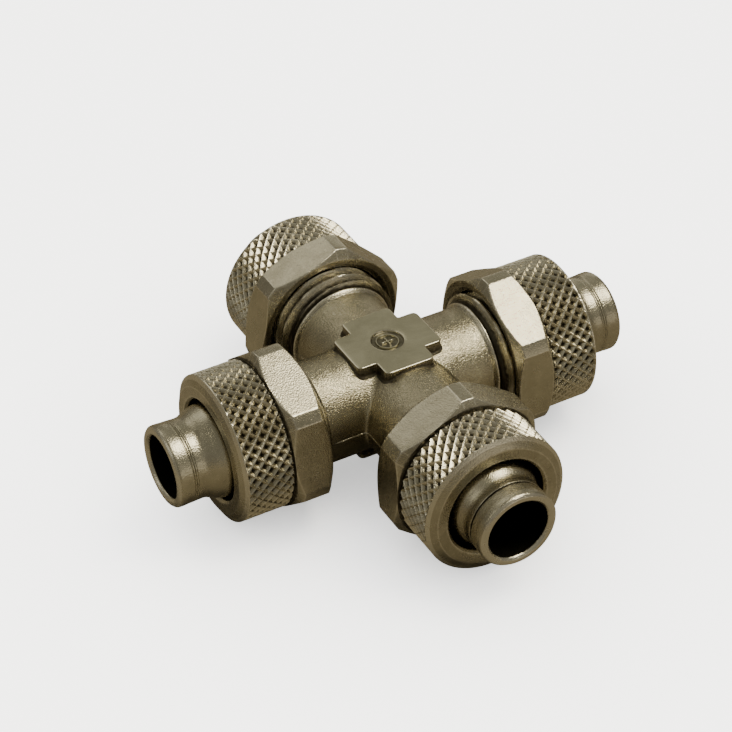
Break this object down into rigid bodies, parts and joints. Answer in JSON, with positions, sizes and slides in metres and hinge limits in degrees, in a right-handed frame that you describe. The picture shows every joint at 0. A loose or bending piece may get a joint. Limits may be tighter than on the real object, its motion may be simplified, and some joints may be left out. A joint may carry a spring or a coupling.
{
  "type": "cross fitting",
  "caption": "Cross-shaped push-on air hose fitting: forged body with bored spigot ends, threaded arms and knurled hexagonal union nuts.",
  "frame": {"origin": "crossing point of the arm axes, in the middle of the forging", "axes": "+Z out of the marked pad, +X along the right arm, +Y along the rear arm"},
  "size_m": [0.039, 0.039, 0.0132],
  "materials": {
    "forged_nickel": "nickel-plated brass forging, shot-blasted and slightly warm",
    "turned_nickel": "nickel-plated turned brass, knurled, satin hexagon"
  },
  "bodies": {
    "cross": {"cross_body": "forged_nickel"},
    "union_nut_right": {"nut_right": "turned_nickel"},
    "union_nut_rear": {"nut_rear": "turned_nickel"},
    "union_nut_left": {"nut_left": "turned_nickel"},
    "union_nut_front": {"nut_front": "turned_nickel"}
  },
  "joints": [
    {"name": "nut_right_travel", "type": "slide", "parent": "cross", "child": "union_nut_right", "axis": [1, 0, 0], "range_m": [-0.0006, 0.0117]},
    {"name": "nut_rear_travel", "type": "slide", "parent": "cross", "child": "union_nut_rear", "axis": [0, 1, 0], "range_m": [-0.0014, 0.0108]},
    {"name": "nut_left_travel", "type": "slide", "parent": "cross", "child": "union_nut_left", "axis": [-1, 0, 0], "range_m": [-0.00033, 0.012]},
    {"name": "nut_front_travel", "type": "slide", "parent": "cross", "child": "union_nut_front", "axis": [0, -1, 0], "range_m": [-0.001, 0.0112]}
  ]
}
